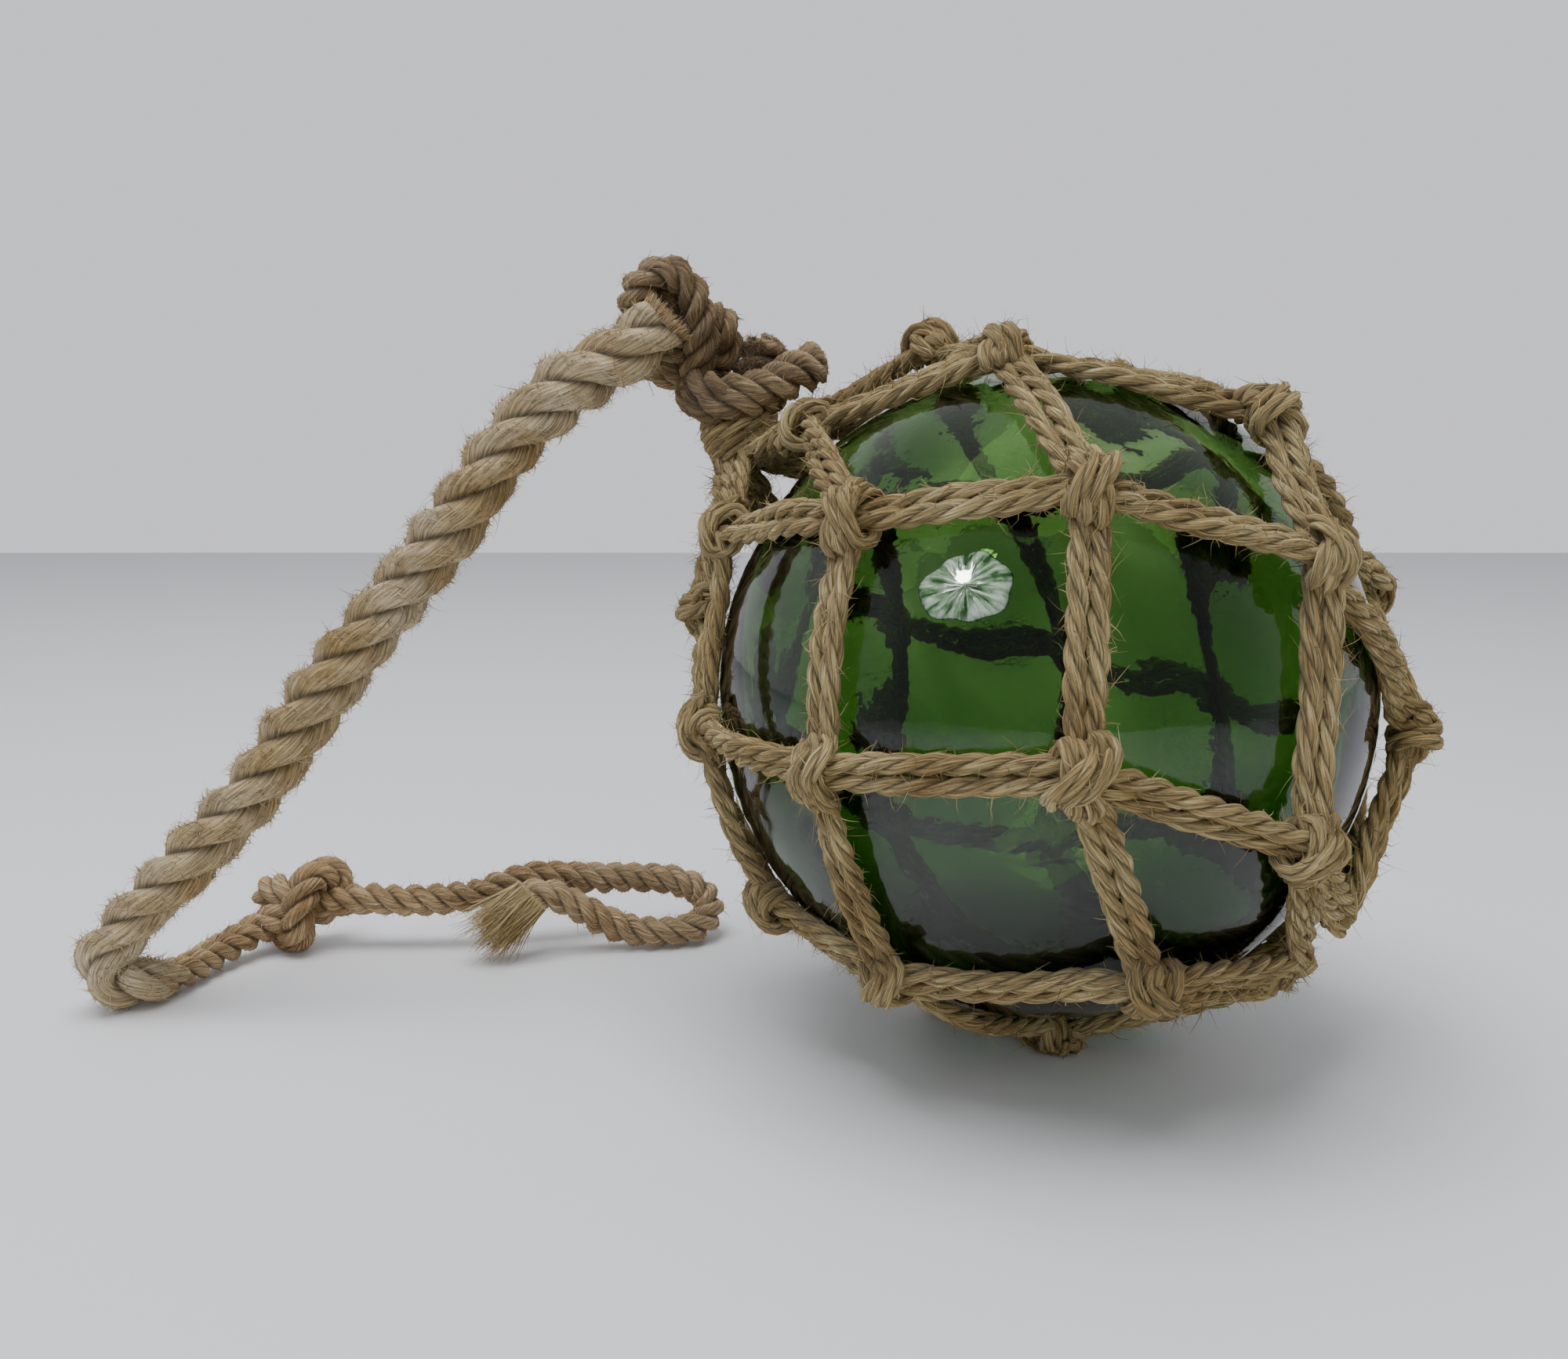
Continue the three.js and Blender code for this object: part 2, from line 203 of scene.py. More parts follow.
def strand_section(columns_per_strand):
    """Distance from the middle at even angles, for a rope of radius 1.

    For an angle a from the nearest strand's middle: d cos a + sqrt(r^2 - d^2 sin^2 a), where d is the
    strand centre's offset and r = 1 - d its radius.
    """
    count = STRANDS * columns_per_strand
    within = (np.arange(count) % columns_per_strand) / columns_per_strand - 0.5
    angle = within * 2 * np.pi / STRANDS
    d = STRAND_OFFSET
    return d * np.cos(angle) + np.sqrt((1 - d) ** 2 - (d * np.sin(angle)) ** 2)


def tube_faces(rings, columns):
    """Corner numbers of a tube: its four-sided faces (rings - 1, columns, 4) and its two caps."""
    i, j = np.meshgrid(np.arange(rings - 1), np.arange(columns), indexing="ij")
    here, right = i * columns + j, i * columns + (j + 1) % columns
    caps = np.stack([np.arange(columns)[::-1], (rings - 1) * columns + np.arange(columns)])
    return np.stack([here, right, right + columns, here + columns], -1), caps


def face_lists(quads, others):
    """All corner numbers in a row, and how many each face takes."""
    return {
        "corners": np.concatenate([quads.ravel(), others.ravel()]),
        "sizes": np.repeat([4, others.shape[-1]], [quads.size // 4, others.size // others.shape[-1]]),
    }


def grid_part(points, uv_across, uv_along):
    """A tube grid (rings, columns, 3) as a part: points, faces as corner numbers, and each corner's UV."""
    rings, columns = points.shape[:2]
    quads, caps = tube_faces(rings, columns)
    across = (np.arange(columns)[:, None] + (0, 1, 1, 0)) / columns * uv_across
    quad_uv = np.stack([np.broadcast_to(across, quads.shape), uv_along[quads // columns]], -1)
    cap_uv = np.stack([caps % columns / columns * uv_across, uv_along[caps // columns]], -1)
    return {
        "points": points.reshape(-1, 3),
        "uv": np.concatenate([quad_uv.reshape(-1, 2), cap_uv.reshape(-1, 2)]),
        **face_lists(quads, caps),
    }


def laid_rope(line, radius, lay, hand, seed, frames=None, columns=COLUMNS, squash=1.0, round_ends=0.0):
    """A laid rope round a line, as a part with the outward and strand directions of its points.

    Point = line + R k(a) (cos(a + t) side + sin(a + t) up), where k is the strand section at angle a and
    t = hand 2 pi s / lay is the turn at distance s. R swells and shrinks a little along each strand.
    squash flattens the section along the line's up direction, and round_ends closes it like a dome. The
    seed also moves the UV map on, so that no two ropes show the same fibres.
    """
    ahead, side, up = frames or carried_frames(line)
    s = distance_along(line)
    count = STRANDS * columns
    angle = 2 * np.pi * np.arange(count) / count
    turn = hand * 2 * np.pi * s / lay
    section = strand_section(columns)
    phase = np.random.default_rng(seed).uniform(0, 2 * np.pi, (len(SWELLS), STRANDS))
    strand = np.arange(count) // columns
    swell = sum(
        share * np.sin(2 * np.pi * s[:, None] / (lay * turns) + phase[k][strand])
        for k, (share, turns) in enumerate(SWELLS)
    )
    size = np.broadcast_to(np.asarray(radius, float), s.shape)
    if round_ends:
        inside = np.clip(np.minimum(s, s[-1] - s) / round_ends, 0.0, 1.0)
        size = size * (END_SIZE + (1 - END_SIZE) * np.sqrt(1 - (1 - inside) ** 2))
    reach = size[:, None] * section * (1 + swell)
    spin = angle + turn[:, None]
    outward = np.cos(spin)[..., None] * side[:, None] + np.sin(spin)[..., None] * squash * up[:, None]
    points = line[:, None] + reach[..., None] * outward
    part = grid_part(points, STRANDS, s / MM + 137.0 * seed)
    part["outward"] = unit(outward).reshape(-1, 3)
    part["along"] = unit(np.gradient(points, axis=0)).reshape(-1, 3)
    inside = (s > BARE_END) & (s < s[-1] - BARE_END)
    part["crown"] = ((section > CROWN)[None] & inside[:, None]).ravel()
    return part


# %% [markdown]
# Natural fibre is never smooth: ends of fibres stick out all over the strands, and they soften every edge.
# Each fibre here is a closed three-sided spike with a bend in it. It starts just under the surface, lies
# mostly along its strand and lifts off it, and the whole coat is worked out as one array.

# %% Fuzz
FIBRE_WIDTH = 0.31 * MM


def fuzz(part, count, longest, seed, highest=2.6 * MM, lift=0.55, width=FIBRE_WIDTH, rings=3):
    """A coat of bent spikes on a part's crowns, as another part.

    Centre line = root + L (u d + u^2 c), with u from 0 to 1, d the first direction (strand direction
    mixed with the outward one) and c a random bend. The half width shrinks towards the tip.
    """
    rng = np.random.default_rng(seed)
    roots = rng.choice(np.flatnonzero(part["crown"]), count)
    outward = part["outward"][roots]
    along = part["along"][roots] * rng.choice([-1, 1], (count, 1))
    sideways = np.cross(outward, along)
    mix = rng.uniform(0.1, 1.0, (count, 1)) * lift * 2
    first = unit(along + mix * outward + rng.normal(0, 0.75, (count, 1)) * sideways)
    bend = rng.normal(0, 0.35, (count, 3)) + 0.15 * outward
    length = longest * (0.25 + 0.75 * rng.beta(1.2, 2.6, (count, 1)))
    u = np.linspace(0, 1, rings)[None, :, None]
    root = part["points"][roots] - 0.3 * MM * outward
    offset = length[:, None] * (u * first[:, None] + u**2 * bend[:, None])
    rise = (offset * outward[:, None]).sum(2, keepdims=True)
    offset = offset + (np.clip(rise, -0.2 * MM, highest) - rise) * outward[:, None]
    return spikes_along(root[:, None] + offset, first, width * rng.uniform(0.6, 1.3, count), rng)


def frayed_end(tip, way, wide, size, count, longest, seed, spread=0.25, width=FIBRE_WIDTH):
    """Loose fibres out of a rope's end, as a part.

    Roots fill an ellipse of the two sizes round the tip, the wide way first. A fibre points along the way,
    leans outward in proportion to how far out its root lies, and bends a little.
    """
    rng = np.random.default_rng(seed)
    way = unit(np.asarray(way, float))
    wide = np.asarray(wide, float)
    wide = unit(wide - (wide @ way) * way)
    thick = np.cross(way, wide)
    turn = rng.uniform(0, 2 * np.pi, (count, 1))
    out = np.sqrt(rng.uniform(0, 1, (count, 1)))
    place = out * (np.cos(turn) * size[0] * wide + np.sin(turn) * size[1] * thick)
    first = unit(way + spread * place / size[0] + rng.normal(0, 0.09, (count, 3)))
    bend = rng.normal(0, 0.14, (count, 3))
    length = longest * rng.uniform(0.55, 1.0, (count, 1))
    u = np.linspace(0, 1, 5)[None, :, None]
    root = tip + place - 2 * MM * way
    centre = root[:, None] + length[:, None] * (u * first[:, None] + u**2 * bend[:, None])
    return spikes_along(centre, first, width * rng.uniform(0.6, 1.4, count), rng)


def spikes_along(centre, first, width, rng):
    """Three-sided spikes round centre lines (count, rings, 3), thinning to a fifth at their tips."""
    count, rings = centre.shape[:2]
    across = unit(np.cross(first, rng.normal(0, 1, (count, 3))))
    over = np.cross(first, across)
    wheel = turned(2 * np.pi * np.arange(3) / 3, across[:, None], over[:, None])
    taper = 1.0 - 0.8 * np.linspace(0, 1, rings)
    half = width[:, None, None, None] / 2 * taper[None, :, None, None]
    points = centre[:, :, None] + half * wheel[:, None]
    return spikes_part(points, rng.uniform(0.35, 0.65, count), rng.uniform(0, 400, count))


def spikes_part(points, uv_across, uv_along):
    """Closed spikes (count, rings, 3 corners, 3) as one part; each spike has one UV place."""
    count, rings, columns = points.shape[:3]
    quads, caps = tube_faces(rings, columns)
    start = np.arange(count)[:, None, None] * rings * columns
    place = np.stack([uv_across, uv_along], -1)
    return {
        "points": points.reshape(-1, 3),
        "uv": np.concatenate([np.repeat(place, quads.size, axis=0), np.repeat(place, caps.size, axis=0)]),
        **face_lists(start + quads.reshape(-1, 4), start + caps),
    }


# %% [markdown]
# Blender wants one list of points, one of corners and one of where each face starts. Whole arrays written at
# once keep a rope of a hundred thousand corners quick to build.

# %% Parts joined into one Blender object
PRESSED = 2 * MM  # below this height a rope is flattened by the table
TABLE_GAP = 0.2 * MM


def pressed_on_table(height):
    """Heights as they are above 2 mm; below, gap + r e^((h - 2 mm) / r), with r = 1.8 mm and gap 0.2 mm."""
    room = 1.8 * MM
    low = TABLE_GAP + room * np.exp((np.minimum(height, PRESSED) - PRESSED) / room)
    return np.where(height > PRESSED, height, low)


def make_piece(name, parts, material, slot, *replaced):
    """One Blender object from several parts, on the part's only body, in place of the CAD nodes named."""
    counts = [len(part["points"]) for part in parts]
    starts = np.concatenate([[0], np.cumsum(counts)[:-1]])
    points = np.concatenate([part["points"] for part in parts])
    points[:, 2] = pressed_on_table(points[:, 2])
    corners = np.concatenate([part["corners"] + start for part, start in zip(parts, starts)])
    sizes = np.concatenate([part["sizes"] for part in parts])
    mesh = bpy.data.meshes.new(name)
    mesh.vertices.add(len(points))
    mesh.vertices.foreach_set("co", points.astype(np.float32).ravel())
    mesh.loops.add(len(corners))
    mesh.loops.foreach_set("vertex_index", corners.astype(np.int32))
    mesh.polygons.add(len(sizes))
    first_corners = np.concatenate([[0], np.cumsum(sizes)[:-1]])
    mesh.polygons.foreach_set("loop_start", first_corners.astype(np.int32))
    mesh.update(calc_edges=True)
    mesh.shade_smooth()
    if "uv" in parts[0]:
        uv = np.concatenate([part["uv"] for part in parts])
        mesh.uv_layers.new(name="lay").data.foreach_set("uv", uv.astype(np.float32).ravel())
    mesh.materials.append(material)
    piece = bpy.data.objects.new(name, mesh)
    bpy.context.scene.collection.objects.link(piece)
    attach(piece, "root")
    if replaced:
        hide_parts(*replaced)
    print(name, "triangles", int((sizes - 2).sum()))
    return piece


# %% [markdown]
# ## Materials
# Colours are written as they look on a screen, as hex values, and one function turns them into the linear
# numbers that Blender mixes. One other function adds a node: it sets its options and fills its inputs.

# %% Colour and node helpers
def colour(hex_value):
    """sRGB hex to linear RGBA: below 0.04045 divide by 12.92, otherwise ((c + 0.055) / 1.055) ^ 2.4."""
    c = np.array([int(hex_value[i:i + 2], 16) for i in (1, 3, 5)]) / 255
    linear = np.where(c <= 0.04045, c / 12.92, ((c + 0.055) / 1.055) ** 2.4)
    return (*linear, 1.0)


def add_node(tree, kind, inputs=(), **options):
    """Adds a node, sets its options, and gives each listed input a value or a link from a socket."""
    made = tree.nodes.new(kind)
    for option, value in options.items():
        setattr(made, option, value)
    for key, value in dict(inputs).items():
        if isinstance(value, bpy.types.NodeSocket):
            tree.links.new(value, made.inputs[key])
        else:
            made.inputs[key].default_value = value
    return made


def maths(tree, operation, *values):
    """The result of a math node on two or three numbers or sockets."""
    return add_node(tree, "ShaderNodeMath", dict(enumerate(values)), operation=operation).outputs[0]


def map_range(tree, value, low, high, to_low, to_high, **options):
    """The result of mapping low to high onto to_low to to_high, stopping at both."""
    inputs = {0: value, 1: low, 2: high, 3: to_low, 4: to_high}
    return add_node(tree, "ShaderNodeMapRange", inputs, **options).outputs[0]


def noise(tree, place, scale, detail, roughness=0.5):
    """Smooth noise at a place, with this number of finer layers."""
    inputs = {"Vector": place, "Scale": scale, "Detail": detail, "Roughness": roughness}
    return add_node(tree, "ShaderNodeTexNoise", inputs).outputs[0]


def stretched(tree, place, factors):
    """A place with each of its three numbers multiplied by its factor."""
    return add_node(tree, "ShaderNodeVectorMath", {0: place, 1: factors}, operation="MULTIPLY").outputs[0]


def colour_ramp(tree, value, *stops):
    """Colours along a value, from stops of a position and a hex colour: first, last, then any between."""
    ramp = add_node(tree, "ShaderNodeValToRGB", {0: value})
    for element, (position, hex_value) in zip(ramp.color_ramp.elements, stops):
        element.position = position
        element.color = colour(hex_value)
    for position, hex_value in stops[2:]:
        ramp.color_ramp.elements.new(position).color = colour(hex_value)
    return ramp.outputs[0]


def new_material(name):
    """A material with an empty node tree and its output node."""
    material = bpy.data.materials.new(name)
    material.use_nodes = True
    tree = material.node_tree
    tree.nodes.clear()
    return material, tree, tree.nodes.new("ShaderNodeOutputMaterial")


# %% [markdown]
# Jute and manila are dry plant fibres, twisted into yarns and laid into strands. Three things make them look
# like that: pale and dark fibres side by side, painted shade in the grooves between strands and the cracks
# between yarns, and no gloss at all apart from a faint sheen of fuzz. The fibres are streaks of noise,
# stretched along the strand and leaned a little, because the yarns are twisted against the lay. A fibre is
# about
# 0.1 mm thick, too fine to show from here, so the streaks are bundles of about half a millimetre.

# %% Laid fibre rope
def rope_material(name, pale, middle, dark, strand_width, lean, patch_pale, patch_dark):
    """Fibre streaks on the lay's own UV map, painted shade in the grooves, and large faded and stained
    patches.

    strand_width is in millimetres, and lean is how far a fibre moves across for each step along. Shade =
    random yarn tone x painted shade between yarns x painted shade in the grooves between strands, and it
    multiplies the fibres' colour.
    """
    material, tree, output = new_material(name)
    uv = add_node(tree, "ShaderNodeUVMap", uv_map="lay")
    split = add_node(tree, "ShaderNodeSeparateXYZ", {0: uv.outputs[0]})
    strand, along = split.outputs[:2]
    leaned = maths(tree, "MULTIPLY_ADD", along, lean, maths(tree, "MULTIPLY", strand, strand_width))
    streaks = add_node(tree, "ShaderNodeCombineXYZ", {0: leaned, 1: along}).outputs[0]
    fine = noise(tree, stretched(tree, streaks, (2.0, 0.09, 1)), 1.0, 5.0, 0.65)
    yarns = noise(tree, stretched(tree, streaks, (0.8, 0.05, 1)), 1.0, 2.0)
    fibres = colour_ramp(tree, fine, (0.30, dark), (0.72, pale), (0.50, middle))
    place = add_node(tree, "ShaderNodeTexCoord").outputs["Object"]
    patches = colour_ramp(tree, noise(tree, place, 38.0, 3.0, 0.55), (0.32, patch_dark), (0.68, patch_pale))
    faded = add_node(tree, "ShaderNodeMix", {0: 1.0, 6: fibres, 7: patches},
                     data_type="RGBA", blend_type="MULTIPLY").outputs[2]

    yarn_tone = map_range(tree, yarns, 0.3, 0.7, 0.70, 1.2)
    # Painted shade: a thin dark line in the cracks between neighbouring yarns.
    from_crack = maths(tree, "ABSOLUTE", maths(tree, "SUBTRACT", yarns, 0.47))
    painted_crack_shade = map_range(tree, from_crack, 0.0, 0.035, 0.42, 1.0)
    # Painted shade: darker towards the grooves between strands, where the strands shade each other.
    from_crown = maths(tree, "ABSOLUTE", maths(tree, "SUBTRACT", maths(tree, "FRACT", strand), 0.5))
    painted_groove_shade = map_range(tree, from_crown, 0.36, 0.5, 1.0, 0.34)
    shade = maths(tree, "MULTIPLY", maths(tree, "MULTIPLY", yarn_tone, painted_crack_shade), painted_groove_shade)
    shaded = add_node(tree, "ShaderNodeVectorMath", {0: faded, 3: shade}, operation="SCALE")

    relief = maths(tree, "MULTIPLY_ADD", yarns, 1.2, fine)
    bump = add_node(tree, "ShaderNodeBump", {"Strength": 0.9, "Distance": 0.8 * MM, "Height": relief})
    shader = add_node(tree, "ShaderNodeBsdfPrincipled", {
        "Base Color": shaded.outputs[0], "Normal": bump.outputs[0], "Roughness": 0.9,
        "Specular IOR Level": 0.25, "Sheen Weight": 0.25, "Sheen Roughness": 0.5,
        "Sheen Tint": colour("#d9c7a4"),
    })
    tree.links.new(shader.outputs[0], output.inputs["Surface"])
    return material


jute = rope_material("laid jute cord", "#eee2b8", "#b09c69", "#46331a", 6.8, -0.50, "#ffffff", "#c4b398")
manila = rope_material(
    "laid manila lanyard", "#f2e9d6", "#cbba9a", "#6e5c40", 21.0, 1.05, "#fffdf8", "#d6c49c")
thin_manila = rope_material(
    "laid manila tail rope", "#efe0c4", "#bfa783", "#5f4a31", 12.0, 1.3, "#fffaf2", "#cbb698")
# A darker copy of the tail rope's colours, used for the becket and the stray fibres.
dark_manila = rope_material(
    "darker manila becket", "#ddcdac", "#a58f6d", "#4d3d29", 12.0, 1.3, "#fffaf2", "#a59580")
straw_manila = rope_material(
    "combed manila fibres", "#ecdfba", "#c6b081", "#84724a", 12.0, 0.5, "#ffffff", "#d9cba6")

# %% [markdown]
# The glass is bottle glass, blown and left as it came: fire-polished, so it is perfectly smooth to the touch
# but wavy. The colour sits in the glass and not on it, so the surface is clear and the wall absorbs red and
# blue as light goes through. The rim of the ball looks darker, because light crosses the wall at a slant
# there. Soda-lime glass has a refractive index of about 1.52.

# %% Green bottle glass
WALL_TINT = (0.28, 0.53, 0.045, 1.0)
IOR = 1.52


def glass_material():
    """Clear smooth glass with a faint ripple and a wall that absorbs light."""
    material, tree, output = new_material("blown green bottle glass")
    ripple = noise(tree, add_node(tree, "ShaderNodeTexCoord").outputs["Object"], 160.0, 2.0)
    bump = add_node(tree, "ShaderNodeBump", {"Strength": 0.12, "Distance": 0.5 * MM, "Height": ripple})
    shader = add_node(tree, "ShaderNodeBsdfPrincipled", {
        "Base Color": (1.0, 1.0, 1.0, 1.0), "Roughness": 0.0, "IOR": IOR, "Transmission Weight": 1.0,
        "Normal": bump.outputs[0],
    })
    absorption = add_node(tree, "ShaderNodeVolumeAbsorption", {"Color": WALL_TINT, "Density": 590.0})
    tree.links.new(shader.outputs[0], output.inputs["Surface"])
    tree.links.new(absorption.outputs[0], output.inputs["Volume"])
    return material


green_glass = glass_material()

# %% [markdown]
# The blowing hole is closed with a button of hot glass, which wrinkles as it cools. It is milky, and its pale
# streaks are partly milky glass and partly a painted highlight of light caught on the folds, so it shows as a
# pale flower on the ball. Its own UV map counts folds across and millimetres outward.

# %% Milky seal glass
def seal_material():
    """Slightly rough glass, half see-through, with pale and green streaks along its folds; the pale ones are
    partly painted highlight.
    """
    material, tree, output = new_material("milky seal glass with painted highlights")
    uv = add_node(tree, "ShaderNodeUVMap", uv_map="lay")
    streaks = noise(tree, stretched(tree, uv.outputs[0], (1.0, 0.16, 1)), 1.0, 3.0)
    # Painted highlight in part: the pale streaks stand for light caught on the folds as well as for milky
    # glass.
    milk_and_painted_highlight = colour_ramp(tree, streaks, (0.38, "#2f5c2a"), (0.66, "#eaf2ea"), (0.50, "#8fb08b"))
    shader = add_node(tree, "ShaderNodeBsdfPrincipled", {
        "Base Color": milk_and_painted_highlight, "Roughness": 0.13, "IOR": IOR, "Transmission Weight": 0.45,
    })
    tree.links.new(shader.outputs[0], output.inputs["Surface"])
    return material


seal_glass = seal_material()

# %% [markdown]
# ## The glass ball
# The ball is blown as a bubble, so it has an outer and an inner skin. The outer one is nearly true, and the
# inner one wanders, which bends the lines seen through it and makes the green paler and darker. Both skins
# are grids of rings that shrink to single points at two poles, and the seal is such a grid too.

# %% Two skins of glass
WALL = 4.0 * MM
BUBBLE_RISE = 2.1 * MM  # the hollow sits this much above the middle: the glass ran down before it set
GLASS_OFFSET = np.array([-3.4, 0, 0]) * MM  # the ball leans this much to the left in its net
BROAD_WAVES = np.array([70, 55, 48, 40, 34, 30]) * MM
RIPPLES = np.array([14, 11, 9, 8, 7, 6, 5]) * MM
SEAL_TURN = -111.7  # degrees about +Z from +X
SEAL_RISE = 24.5  # degrees above level


def directions_from_seal(polar, around):
    """Directions by their angle from the seal's axis and their angle round it, from its left downwards."""
    turn, rise = np.radians([SEAL_TURN, SEAL_RISE])
    axis = np.array([np.cos(rise) * np.cos(turn), np.cos(rise) * np.sin(turn), np.sin(rise)])
    left = unit(np.cross(axis, [0, 0, 1]))
    return turned(polar, axis, turned(around, left, np.cross(axis, left)))


def waves(directions, seed, lengths, height):
    """A sum of plane waves over the ball, of the given wave lengths and of about the given height."""
    rng = np.random.default_rng(seed)
    total = np.zeros(directions.shape[:-1])
    for length in lengths:
        heading = unit(rng.normal(0, 1, 3))
        phase = rng.uniform(0, 6.28)
        total += np.sin(2 * np.pi * BALL_RADIUS / length * (directions @ heading) + phase)
    return total * height / np.sqrt(len(lengths))


def closed_grid(grid):
    """A closed surface of rings (rows, columns, 3) whose first and last rings are single points."""
    rows, columns = grid.shape[:2]
    inner = grid[1:-1].reshape(-1, 3)
    points = np.vstack([inner, grid[0].mean(axis=0), grid[-1].mean(axis=0)])
    quads = tube_faces(rows - 2, columns)[0][..., [0, 3, 2, 1]]
    here = np.arange(columns)
    right = (here + 1) % columns
    top, bottom, last = len(inner), len(inner) + 1, (rows - 3) * columns
    fans = np.stack([np.stack([np.full(columns, top), here, right], -1),
                     np.stack([np.full(columns, bottom), last + right, last + here], -1)])
    return {"points": points, **face_lists(quads, fans)}


def skin(radius, rows, columns, reliefs):
    """A closed ball surface: radius + waves, and for the inner one + the bubble's rise x direction's z."""
    polar = np.linspace(0, np.pi, rows)[:, None]
    around = 2 * np.pi * np.arange(columns)[None] / columns
    direction = directions_from_seal(polar, around)
    relief = sum(waves(direction, *each) for each in reliefs)
    reach = radius + relief + (BALL_RADIUS - radius) / WALL * BUBBLE_RISE * direction[..., 2]
    return closed_grid(BALL_CENTRE + GLASS_OFFSET + reach[..., None] * direction)


def turned_inwards(part):
    """The same skin with its faces looking at the hollow: each face's corners in reverse order."""
    ends = np.cumsum(part["sizes"])
    order = np.concatenate([np.arange(end - 1, end - size - 1, -1) for end, size in zip(ends, part["sizes"])])
    return {**part, "corners": part["corners"][order]}


inner_waves = [(2, BROAD_WAVES, 0.55 * MM), (3, RIPPLES, 0.02 * MM)]  # seed, lengths, height
skins = [
    skin(BALL_RADIUS, 100, 180, [(1, BROAD_WAVES, 0.12 * MM)]),
    turned_inwards(skin(BALL_RADIUS - WALL, 110, 190, inner_waves)),
]
make_piece("blown_glass_ball", skins, green_glass, "green_glass", "glass_ball")

# %% Wrinkled seal
SEAL_WIDE = 12.3 * MM  # half its width
SEAL_TALL = 9.2 * MM  # half its height
SEAL_TILT = np.radians(12)
SEAL_HEIGHT = 2.1 * MM
SEAL_SUNK = 0.4 * MM
SEAL_FLAT = (0.08, -0.24)  # middle of a flat spot, as shares of the way to the edge: left and down
FLAT_SPOT, FLAT_EDGE = 0.20, 0.22  # its radius and how wide its edge is, as such shares
FLAT_HEIGHT, FOLD_FLOOR = 0.55, 0.40  # the flat spot and the deepest crease, as shares of SEAL_HEIGHT
SEAL_RINGS = 30  # grid rings on its top
SEAL_COLUMNS = 216
SEAL_STREAKS = 28


def seal_outline(around):
    """Distance from the seal's middle to its edge: an ellipse with a wavy edge."""
    tilted = around - SEAL_TILT
    ellipse = 1 / np.hypot(np.cos(tilted) / SEAL_WIDE, np.sin(tilted) / SEAL_TALL)
    return ellipse * (1 + 0.05 * np.sin(3 * around + 0.5) + 0.04 * np.sin(7 * around + 2.0))


def seal_folds(share, around):
    """Petals and pleats from 0 to 1. The size of a sine gives round crests with sharp creases between."""
    sway = 0.6 * np.sin(2 * around + 1.0) + 0.5 * np.sin(4 * share + 3 * around)
    petals = np.abs(np.sin(5.5 * around + sway))
    pleats = np.abs(np.sin(14 * around + 1.7 * sway + 2.2 * share))
    return 0.6 * petals + 0.4 * pleats


def seal_button():
    """The seal as a closed part: rings from its middle out to its edge, and back along its underside.

    Height = flat spot x (1 - f) + folds x f x sqrt(1 - share^2), where f is 0 near the flat spot, else 1.
    """
    share = np.concatenate([np.linspace(0, 1, SEAL_RINGS), np.linspace(1, 0, 6)[1:]])[:, None]
    on_top = np.arange(len(share))[:, None] < SEAL_RINGS
    around = 2 * np.pi * np.arange(SEAL_COLUMNS)[None] / SEAL_COLUMNS
    from_flat = np.hypot(share * np.cos(around) - SEAL_FLAT[0], share * np.sin(around) - SEAL_FLAT[1])
    folded = np.clip((from_flat - FLAT_SPOT) / FLAT_EDGE, 0, 1)
    folds = FOLD_FLOOR + (1 - FOLD_FLOOR) * seal_folds(share, around)
    height = FLAT_HEIGHT * (1 - folded) + folds * folded * np.sqrt(1 - share**2)
    rise = np.where(on_top, SEAL_HEIGHT * height, 0) - SEAL_SUNK * np.where(on_top, share**6, 1)
    direction = directions_from_seal(share * seal_outline(around) / BALL_RADIUS, around)
    part = closed_grid(BALL_CENTRE + GLASS_OFFSET + (BALL_RADIUS + rise)[..., None] * direction)
    uv = np.stack(np.broadcast_arrays(SEAL_STREAKS * around / (2 * np.pi), share * SEAL_WIDE / MM), -1)
    point_uv = np.vstack([uv[1:-1].reshape(-1, 2), uv[0, 0], uv[-1, 0]])
    part["uv"] = point_uv[part["corners"]]
    return part


make_piece("wrinkled_glass_seal", [seal_button()], seal_glass, "green_glass", "glass_ball")

# %% [markdown]
# ## The net
# The net is a tube of square meshes, seven round, pulled over the ball like a sock. Its pole leans back to
# the left, where the neck is. A knot is placed by its angle from the pole, its angle round it from the
# front and, where that isn't 108.5 mm, its distance from the ball's centre. Rows alternate, so each knot
# has two legs up and two down.

# %% Where the knots are
POLE_TILT = 49.5  # degrees from +Z
POLE_TURN = 153.7  # degrees about +Z from +X
KNOT_ROWS = [
    [(26, -42, 113), (20, 11, 112), (32, 56, 112), (27, 112, 111), (25, 165, 111), (27, 218, 111),
     (32, 283, 113)],
    [(55, -64), (56, -2), (49, 47), (57, 106), (54, 152), (52, 200), (54, 249)],
    [(80, -32), (80, 24), (87, 63), (82, 118), (80, 172), (81, 226), (84, 285)],
    [(106, -58), (106, -5), (107, 45), (115, 108), (108, 155), (106, 202), (112, 252)],
    [(137, -30), (139, 14), (142, 88, 106.5), (137, 133), (136, 176), (137, 228), (135, 264, 107.5)],
]
GROMMET_ROW = [(170, azimuth, 109) for azimuth in (-62, -18, 36, 92, 145, 196, 248)]
NECK_CENTRE = np.array([-96, 40, 77]) * MM
NECK_AXIS = unit(np.array([-0.25, 0, 0.97]))
NECK_RING = 8 * MM


def front_and_across(axis):
    """Two directions square to an axis: the one nearest to the front, and the one across it."""
    front = np.array([0, -1, 0])
    front = unit(front - axis * (axis @ front))
    return front, np.cross(axis, front)


